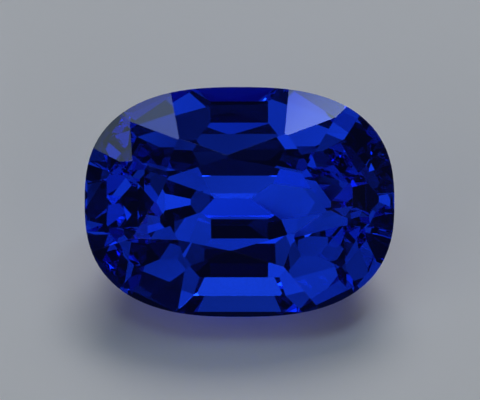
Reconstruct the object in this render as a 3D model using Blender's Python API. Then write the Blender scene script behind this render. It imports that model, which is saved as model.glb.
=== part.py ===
"""Cushion-cut blue sapphire, one polished stone lying on a side facet of its pavilion.

The stone is made the way a cutter makes it: a blank with the cushion outline is cut by one flat facet
after another. While it is cut it stands table up, with its length along X and its axis on Z, and the
crown's girdle plane is z = 0. Every crown facet has a direction, in degrees around the stone from the +X
end, and a slope, in degrees from the girdle plane. The facets along the girdle are placed from the
outline, and the ones around the table by where they meet it. The pavilion is stepped: each side has four
tiers, and the tiers change slope at the same depths all round. At the end the stone is rolled onto the
facet it rests on. Lengths are in metres and angles in degrees.
"""

from math import cos, pi, radians, sin, tan

import bmesh
import bpy
from mathutils import Matrix, Vector

# Overall size
GIRDLE_LENGTH = 0.01250
GIRDLE_WIDTH = 0.00928
GIRDLE_THICKNESS = 0.00008
TABLE_HEIGHT = 0.00131
BLANK_DEPTH = 0.00600

# The outline is a superellipse: power 2 would be an ellipse, and a high power a rectangle
OUTLINE_POWER = 2.6
OUTLINE_POINTS = 96

# Lower crown facets as direction, slope and clearance, which is how far outside the outline their planes
# meet the girdle plane: most start right at the outline
LOWER_CROWN = {
    "main north": (91.0, 25.0, 0.0),
    "main east": (16.0, 24.0, 0.0),
    "main south": (270.0, 26.0, 0.0),
    "main west": (178.0, 24.5, 0.0),
    "girdle north north west": (116.0, 25.5, 0.0),
    "girdle west north west": (134.0, 23.5, 0.00005),
    "girdle north north east": (78.0, 25.0, 0.0001),
    "girdle east north east": (35.0, 21.5, 0.0),
    "girdle south south west": (250.0, 26.0, 0.00007),
    "girdle west south west": (226.0, 26.0, 0.0),
    "girdle south south east": (290.0, 28.0, 0.00028),
    "girdle east south east": (315.0, 23.0, 0.0),
}

# Upper crown facets as direction, slope and how far from the axis they meet the table
UPPER_CROWN = {
    "corner north west": (128.5, 22.0, 0.00265),
    "corner north east": (67.0, 20.0, 0.00215),
    "corner south west": (238.0, 23.5, 0.00260),
    "corner south east": (305.0, 20.5, 0.00230),
    "star north north west": (108.0, 15.0, 0.00185),
    "star west north west": (153.5, 18.5, 0.00300),
    "star north north east": (78.0, 16.0, 0.00165),
    "star east north east": (34.0, 12.5, 0.00270),
    "star south south west": (258.0, 18.0, 0.00200),
    "star west south west": (210.0, 14.5, 0.00290),
    "star south south east": (286.0, 15.0, 0.00180),
    "star east south east": (296.0, 22.0, 0.00255),
}

# Pavilion tiers: the depths where the slope changes, and each side's slopes from the girdle down
TIER_DEPTHS = (0.00055, 0.00195, 0.00320)
NORTH_SLOPES = (75.0, 58.0, 46.5, 36.5)
SOUTH_SLOPES = (57.0, 54.5, 49.5, 35.5)
EAST_SLOPES = (81.0, 55.5, 42.5, 26.5)
WEST_SLOPES = (67.0, 51.5, 38.0, 36.5)
CORNER_SLOPES = (55.0, 49.5, 44.5, 36.5)

# Directions of the corner facets, measured from the stone's length; the corners mirror each other
CORNER_DIRECTION = 39.5
INNER_CORNER_DIRECTION = 64.5
OUTER_CORNER_DIRECTION = 20.0

# The stone lies on the lowest south tier
REST_SLOPE = SOUTH_SLOPES[3]

# Working values
MERGE_DISTANCE = 0.0000005
COLLECTION_NAME = "blue_sapphire"


def outline_point(angle):
    """Point of the girdle outline at a parameter angle in radians."""
    power = 2.0 / OUTLINE_POWER
    x = abs(cos(angle)) ** power * GIRDLE_LENGTH / 2
    y = abs(sin(angle)) ** power * GIRDLE_WIDTH / 2
    if cos(angle) < 0:
        x = -x
    if sin(angle) < 0:
        y = -y
    return x, y


def outline_reach(direction):
    """How far the outline extends from the axis along a direction in degrees."""
    power = OUTLINE_POWER / (OUTLINE_POWER - 1)
    along_length = abs(cos(radians(direction))) * GIRDLE_LENGTH / 2
    along_width = abs(sin(radians(direction))) * GIRDLE_WIDTH / 2
    return (along_length ** power + along_width ** power) ** (1 / power)


def make_blank():
    """Upright block with the cushion outline, from the deepest point to above the table."""
    bm = bmesh.new()
    bmesh.ops.create_circle(bm, cap_ends=True, segments=OUTLINE_POINTS, radius=1)
    for index, vertex in enumerate(bm.verts):
        x, y = outline_point(2 * pi * (index + 0.5) / OUTLINE_POINTS)
        vertex.co = Vector((x, y, -BLANK_DEPTH))
    wall = bmesh.ops.extrude_face_region(bm, geom=bm.faces[:])
    top = [item for item in wall["geom"] if isinstance(item, bmesh.types.BMVert)]
    bmesh.ops.translate(bm, verts=top, vec=(0, 0, BLANK_DEPTH + 2 * TABLE_HEIGHT))
    bmesh.ops.recalc_face_normals(bm, faces=bm.faces[:])
    return bm


def cut(bm, point, outward):
    """Grind one flat facet: everything beyond the plane goes, and the cut is closed."""
    everything = bm.verts[:] + bm.edges[:] + bm.faces[:]
    result = bmesh.ops.bisect_plane(
        bm, geom=everything, dist=MERGE_DISTANCE, plane_co=point, plane_no=outward, clear_outer=True
    )
    rim = [item for item in result["geom_cut"] if isinstance(item, bmesh.types.BMEdge)]
    open_rim = [edge for edge in rim if len(edge.link_faces) == 1]
    if open_rim:
        bmesh.ops.contextual_create(bm, geom=open_rim)


def cut_crown_facet(bm, direction, slope, reach, height):
    """One crown facet, whose plane is at the given reach from the axis at the given height."""
    turn = radians(direction)
    tilt = radians(slope)
    point = Vector((reach * cos(turn), reach * sin(turn), height))
    outward = Vector((sin(tilt) * cos(turn), sin(tilt) * sin(turn), cos(tilt)))
    cut(bm, point, outward)


def cut_crown(bm):
    """Table first, then the facets along the girdle, and the corners and stars around the table."""
    cut(bm, Vector((0, 0, TABLE_HEIGHT)), Vector((0, 0, 1)))
    for direction, slope, clearance in LOWER_CROWN.values():
        cut_crown_facet(bm, direction, slope, outline_reach(direction) + clearance, 0)
    for direction, slope, table_edge in UPPER_CROWN.values():
        cut_crown_facet(bm, direction, slope, table_edge, TABLE_HEIGHT)


def cut_pavilion_side(bm, direction, slopes):
    """One side of the pavilion, tier by tier from the girdle down."""
    turn = radians(direction)
    reach = outline_reach(direction)
    depth = 0.0
    for tier, slope in enumerate(slopes):
        tilt = radians(slope)
        point = Vector((reach * cos(turn), reach * sin(turn), -GIRDLE_THICKNESS - depth))
        outward = Vector((sin(tilt) * cos(turn), sin(tilt) * sin(turn), -cos(tilt)))
        cut(bm, point, outward)
        if tier < len(slopes) - 1:
            reach -= (TIER_DEPTHS[tier] - depth) / tan(tilt)
            depth = TIER_DEPTHS[tier]


def cut_pavilion(bm):
    """The four sides, then the corners, which are mirror images of one another."""
    cut_pavilion_side(bm, 90, NORTH_SLOPES)
    cut_pavilion_side(bm, 270, SOUTH_SLOPES)
    cut_pavilion_side(bm, 0, EAST_SLOPES)
    cut_pavilion_side(bm, 180, WEST_SLOPES)
    for start, sense in ((0, 1), (180, -1), (180, 1), (360, -1)):
        cut_pavilion_side(bm, start + sense * CORNER_DIRECTION, CORNER_SLOPES)
        cut_pavilion_side(bm, start + sense * INNER_CORNER_DIRECTION, CORNER_SLOPES[:2])
        cut_pavilion_side(bm, start + sense * OUTER_CORNER_DIRECTION, CORNER_SLOPES[:1])


def lay_down(bm):
    """Roll the stone onto its resting facet, with the middle of its underside at the origin."""
    roll = Matrix.Rotation(radians(REST_SLOPE), 3, "X")
    bmesh.ops.rotate(bm, verts=bm.verts[:], cent=(0, 0, 0), matrix=roll)
    low = Vector([min(vertex.co[axis] for vertex in bm.verts) for axis in range(3)])
    high = Vector([max(vertex.co[axis] for vertex in bm.verts) for axis in range(3)])
    shift = Vector((-(low.x + high.x) / 2, -(low.y + high.y) / 2, -low.z))
    bmesh.ops.translate(bm, verts=bm.verts[:], vec=shift)


def sapphire_material():
    """Clear saturated blue, polished on every facet."""
    material = bpy.data.materials.new("sapphire blue")
    material.use_nodes = True
    shader = material.node_tree.nodes["Principled BSDF"]
    shader.inputs["Base Color"].default_value = (0.02, 0.08, 0.62, 1)
    shader.inputs["Roughness"].default_value = 0.02
    shader.inputs["Metallic"].default_value = 0.0
    shader.inputs["IOR"].default_value = 1.77
    shader.inputs["Transmission Weight"].default_value = 1.0
    return material


def clear_scene():
    """Start from an empty scene."""
    for item in list(bpy.data.objects):
        bpy.data.objects.remove(item, do_unlink=True)


def main():
    clear_scene()
    collection = bpy.data.collections.new(COLLECTION_NAME)
    bpy.context.scene.collection.children.link(collection)
    bm = make_blank()
    cut_crown(bm)
    cut_pavilion(bm)
    bmesh.ops.remove_doubles(bm, verts=bm.verts[:], dist=MERGE_DISTANCE)
    bmesh.ops.recalc_face_normals(bm, faces=bm.faces[:])
    lay_down(bm)
    mesh = bpy.data.meshes.new("sapphire")
    bm.to_mesh(mesh)
    bm.free()
    mesh.materials.append(sapphire_material())
    stone = bpy.data.objects.new("sapphire", mesh)
    collection.objects.link(stone)


main()
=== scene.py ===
"""Looks for the cut blue sapphire: the polished stone, a plain pale floor, studio lights and the camera.

The stone lies on a pavilion facet, so its table leans toward -Y and the camera looks straight at the table.
Lengths are in metres and angles in degrees. Light directions are given as azimuth, clockwise from +Y seen
from above, and elevation over the floor.
"""

from math import cos, pi, radians, sin, tan

import bmesh
import bpy
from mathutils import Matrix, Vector


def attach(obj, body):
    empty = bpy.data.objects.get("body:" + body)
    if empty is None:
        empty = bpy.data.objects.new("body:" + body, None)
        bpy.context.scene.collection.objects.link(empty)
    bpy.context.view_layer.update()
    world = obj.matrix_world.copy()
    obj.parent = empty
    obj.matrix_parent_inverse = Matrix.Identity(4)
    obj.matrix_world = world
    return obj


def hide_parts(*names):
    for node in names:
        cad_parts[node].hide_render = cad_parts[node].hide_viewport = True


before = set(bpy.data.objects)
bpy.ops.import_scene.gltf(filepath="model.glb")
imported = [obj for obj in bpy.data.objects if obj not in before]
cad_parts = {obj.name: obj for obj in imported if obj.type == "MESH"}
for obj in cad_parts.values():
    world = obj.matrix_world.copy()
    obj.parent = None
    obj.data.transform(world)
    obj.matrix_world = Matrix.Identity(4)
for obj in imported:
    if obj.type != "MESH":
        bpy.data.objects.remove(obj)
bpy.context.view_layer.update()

# The photograph's frame, and where the stone lies in it, in pixels
FRAME_WIDTH_PX = 480
FRAME_HEIGHT_PX = 400
STONE_LEFT_PX = 84
STONE_RIGHT_PX = 395
STONE_MIDDLE_PX = 202

# Camera: a long macro lens, square to the table
CAMERA_DISTANCE = 0.30
SENSOR_WIDTH = 0.036

# The stone: edges worn by handling, and the look of corundum
EDGE_WEAR = 0.000018
FLAT_WITHIN = 0.2
IOR = 1.77
BODY_COLOUR = (0.012, 0.085, 1.0)
ABSORPTION_COLOUR = (0.0, 0.3, 0.9)
ABSORPTION_DENSITY = 50.0

# Floor
FLOOR_SIZE = 1.6
FLOOR_COLOUR = (0.86, 0.86, 0.87)
FLOOR_GAP = 0.00005

# Softboxes: azimuth, elevation, width and height in degrees as seen from the stone, radiance
SOFTBOX_DISTANCE = 0.6
SOFTBOXES = {
    "great window": (6.0, 45.0, 43.0, 22.0, 5.5),
    "glow around the window": (5.0, 48.0, 20.0, 44.0, 0.85),
    "under the window": (0.0, 25.0, 14.0, 8.0, 0.2),
    "right wall": (150.0, 33.0, 34.0, 28.0, 0.5),
    "right high": (117.0, 50.0, 18.0, 18.0, 0.5),
    "right low": (118.0, 31.0, 10.0, 18.0, 0.6),
    "left wall": (-101.0, 36.0, 21.0, 24.0, 0.8),
    "left low": (-114.0, 11.0, 14.0, 10.0, 0.2),
    "left floor": (-96.0, 6.0, 10.0, 7.0, 2.5),
    "front left": (-132.0, 35.0, 27.0, 22.0, 0.8),
    "front left low": (-146.0, 21.0, 42.0, 13.0, 0.5),
    "front low": (172.0, 13.0, 26.0, 18.0, 0.6),
    "front middle": (180.0, 32.0, 8.0, 8.0, 0.18),
}
# Overhead openings onto the sky, given in the same way, which the upper crown facets mirror
SKYLIGHTS = {
    "upper left": (-56.0, 77.0, 20.0, 36.0, 1.2),
    "upper right": (41.0, 65.0, 6.0, 38.0, 3.6),
    "left high": (-92.0, 56.0, 24.0, 14.0, 0.55),
}
SKY_COLOUR = (0.74, 1.0, 1.3)
# How far the brightness takes to build up from a softbox's border, as a share of its width, and how
# much it varies over its face
SOFT_EDGE = 0.25
FACE_LOW = 0.75
FACE_HIGH = 1.25
FACE_SCALE = 4.0
NOISE_LOW = 0.35
NOISE_HIGH = 0.65
ROOM_LIGHT = 0.012


def table_normal(stone):
    """The way the largest facet faces, which is the table."""
    table = max(facets_of(stone), key=lambda facet: facet[1])
    return table[0]


def facets_of(stone):
    """Direction and area of each flat facet, with the triangles of one facet taken together."""
    form = welded(stone)
    facets = [(face.normal.copy(), face.calc_area()) for face in form.faces]
    form.free()
    return facets


def welded(stone):
    """The stone's mesh with shared corners and one face for each flat facet."""
    form = bmesh.new()
    form.from_mesh(stone.data)
    bmesh.ops.remove_doubles(form, verts=form.verts[:], dist=0.0000005)
    bmesh.ops.dissolve_limit(form, angle_limit=radians(FLAT_WITHIN), verts=form.verts[:], edges=form.edges[:])
    for face in form.faces:
        face.smooth = False
    return form


def sapphire_material():
    """Clear blue corundum, polished."""
    material = bpy.data.materials.new("sapphire")
    material.use_nodes = True
    nodes = material.node_tree.nodes
    links = material.node_tree.links
    shader = nodes["Principled BSDF"]
    shader.inputs["Base Color"].default_value = (*BODY_COLOUR, 1)
    shader.inputs["Roughness"].default_value = 0.0
    shader.inputs["IOR"].default_value = IOR
    shader.inputs["Transmission Weight"].default_value = 1.0
    depth = nodes.new("ShaderNodeVolumeAbsorption")
    depth.inputs["Color"].default_value = (*ABSORPTION_COLOUR, 1)
    depth.inputs["Density"].default_value = ABSORPTION_DENSITY
    links.new(depth.outputs["Volume"], nodes["Material Output"].inputs["Volume"])
    return material


def polished_stone(cad_stone):
    """The visible stone: the cut solid with its facet edges very slightly rounded."""
    form = welded(cad_stone)
    bmesh.ops.bevel(
        form, geom=form.edges[:], offset=EDGE_WEAR, offset_type="OFFSET", segments=1, affect="EDGES",
        clamp_overlap=True,
    )
    mesh = bpy.data.meshes.new("polished_stone")
    form.to_mesh(mesh)
    form.free()
    mesh.materials.append(sapphire_material())
    stone = bpy.data.objects.new("polished_stone", mesh)
    bpy.context.scene.collection.objects.link(stone)
    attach(stone, "root")
    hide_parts("sapphire")
    return stone


def floor():
    """Plain pale floor, which the stone lies on."""
    mesh = bpy.data.meshes.new("floor")
    form = bmesh.new()
    bmesh.ops.create_grid(form, x_segments=1, y_segments=1, size=FLOOR_SIZE / 2)
    bmesh.ops.translate(form, verts=form.verts[:], vec=(0, 0, -FLOOR_GAP))
    form.to_mesh(mesh)
    form.free()
    material = bpy.data.materials.new("pale floor")
    material.use_nodes = True
    shader = material.node_tree.nodes["Principled BSDF"]
    shader.inputs["Base Color"].default_value = (*FLOOR_COLOUR, 1)
    shader.inputs["Roughness"].default_value = 0.8
    mesh.materials.append(material)
    plane = bpy.data.objects.new("floor", mesh)
    bpy.context.scene.collection.objects.link(plane)


def direction(azimuth, elevation):
    """Unit vector toward a place in the room."""
    level = cos(radians(elevation))
    return Vector((level * sin(radians(azimuth)), level * cos(radians(azimuth)), sin(radians(elevation))))


def soften(light, seed):
    """Brightness that fades out toward a softbox's border and varies gently over its face."""
    light.use_nodes = True
    nodes = light.node_tree.nodes
    links = light.node_tree.links
    place = nodes.new("ShaderNodeNewGeometry")
    split = nodes.new("ShaderNodeSeparateXYZ")
    links.new(place.outputs["Parametric"], split.inputs["Vector"])
    cloudy = nodes.new("ShaderNodeTexNoise")
    cloudy.noise_dimensions = "4D"
    cloudy.inputs["W"].default_value = seed
    cloudy.inputs["Scale"].default_value = FACE_SCALE
    links.new(place.outputs["Parametric"], cloudy.inputs["Vector"])
    level = nodes.new("ShaderNodeMapRange")
    level.inputs["From Min"].default_value = NOISE_LOW
    level.inputs["From Max"].default_value = NOISE_HIGH
    level.inputs["To Min"].default_value = FACE_LOW
    level.inputs["To Max"].default_value = FACE_HIGH
    links.new(cloudy.outputs["Fac"], level.inputs["Value"])
    brightness = level.outputs["Result"]
    for side in ("X", "Y"):
        inward = nodes.new("ShaderNodeMath")
        inward.operation = "PINGPONG"
        inward.inputs[1].default_value = 0.5
        links.new(split.outputs[side], inward.inputs[0])
        fade = nodes.new("ShaderNodeMapRange")
        fade.inputs["From Max"].default_value = SOFT_EDGE
        links.new(inward.outputs["Value"], fade.inputs["Value"])
        product = nodes.new("ShaderNodeMath")
        product.operation = "MULTIPLY"
        links.new(brightness, product.inputs[0])
        links.new(fade.outputs["Result"], product.inputs[1])
        brightness = product.outputs["Value"]
    links.new(brightness, nodes["Emission"].inputs["Strength"])


def softbox(name, azimuth, elevation, width, height, radiance, colour=(1, 1, 1)):
    """One rectangular light that faces the stone."""
    light = bpy.data.lights.new(name, "AREA")
    light.shape = "RECTANGLE"
    light.size = 2 * SOFTBOX_DISTANCE * tan(radians(width) / 2)
    light.size_y = 2 * SOFTBOX_DISTANCE * tan(radians(height) / 2)
    light.energy = radiance * pi * light.size * light.size_y
    light.color = colour
    soften(light, seed=azimuth)
    box = bpy.data.objects.new(name, light)
    box.location = direction(azimuth, elevation) * SOFTBOX_DISTANCE
    box.rotation_euler = (-box.location).to_track_quat("-Z", "Y").to_euler()
    box.visible_camera = False
    bpy.context.scene.collection.objects.link(box)


def lights():
    """The softboxes, the sky overhead and a low even light from the room."""
    for name, placing in SOFTBOXES.items():
        softbox(name, *placing)
    for name, placing in SKYLIGHTS.items():
        softbox(name, *placing, colour=SKY_COLOUR)
    world = bpy.data.worlds.new("room")
    world.use_nodes = True
    world.node_tree.nodes["Background"].inputs["Color"].default_value = (1, 1, 1, 1)
    world.node_tree.nodes["Background"].inputs["Strength"].default_value = ROOM_LIGHT
    bpy.context.scene.world = world


def camera(stone, facing):
    """Camera square to the table, framing the stone as in the photograph."""
    right = Vector((1, 0, 0))
    up = facing.cross(right).normalized()
    right = up.cross(facing)
    corners = [vertex.co for vertex in stone.data.vertices]
    across = [corner.dot(right) for corner in corners]
    along = [corner.dot(up) for corner in corners]
    scale = (max(across) - min(across)) / (STONE_RIGHT_PX - STONE_LEFT_PX)
    off_centre = FRAME_WIDTH_PX / 2 - (STONE_LEFT_PX + STONE_RIGHT_PX) / 2
    off_middle = STONE_MIDDLE_PX - FRAME_HEIGHT_PX / 2
    middle = right * ((max(across) + min(across)) / 2 + off_centre * scale)
    middle += up * ((max(along) + min(along)) / 2 + off_middle * scale)
    middle += facing * max(corner.dot(facing) for corner in corners)
    lens = bpy.data.cameras.new("camera")
    lens.sensor_width = SENSOR_WIDTH * 1000
    lens.lens = SENSOR_WIDTH * 1000 * CAMERA_DISTANCE / (FRAME_WIDTH_PX * scale)
    lens.clip_start = 0.001
    view = bpy.data.objects.new("camera", lens)
    view.location = middle + facing * CAMERA_DISTANCE
    view.rotation_euler = facing.to_track_quat("Z", "Y").to_euler()
    bpy.context.scene.collection.objects.link(view)
    bpy.context.scene.camera = view


def light_paths():
    """Enough bounces for light to find its way out of the stone."""
    cycles = bpy.context.scene.cycles
    cycles.max_bounces = 24
    cycles.transmission_bounces = 24
    cycles.glossy_bounces = 24
    bpy.context.scene.view_settings.view_transform = "Standard"


cad_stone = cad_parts["sapphire"]
polished_stone(cad_stone)
floor()
lights()
camera(cad_stone, table_normal(cad_stone))
light_paths()
